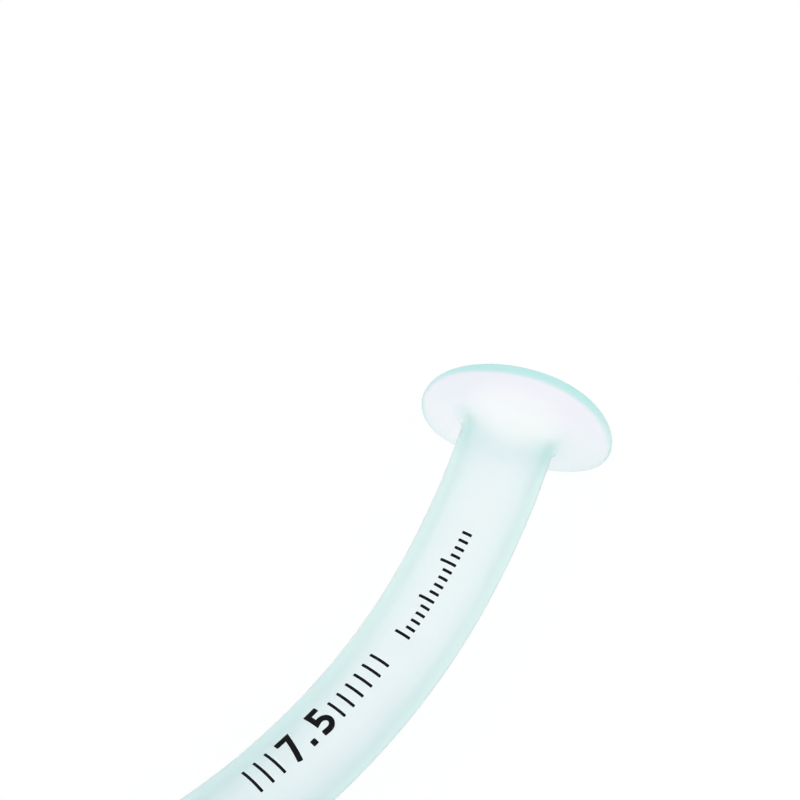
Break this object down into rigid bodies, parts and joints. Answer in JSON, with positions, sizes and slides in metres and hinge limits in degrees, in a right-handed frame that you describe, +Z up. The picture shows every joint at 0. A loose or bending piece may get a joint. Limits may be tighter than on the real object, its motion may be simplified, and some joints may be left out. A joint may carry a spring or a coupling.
{
  "type": "nasopharyngeal airway",
  "caption": "Soft curved nasal airway tube with a round trumpet flange at one end and a bevelled, rounded tip at the other.",
  "frame": {"origin": "middle of the part's box, on the surface that the airway lies on", "axes": "+Z up from that surface; the flange's face looks along +Y and a little up, and the tip points along -X"},
  "size_m": [0.1111, 0.1032, 0.0212],
  "materials": {
    "soft_pvc": "translucent frosted mint",
    "marking_ink": "black pad print"
  },
  "bodies": {
    "root": {"airway": "soft_pvc"}
  },
  "joints": []
}
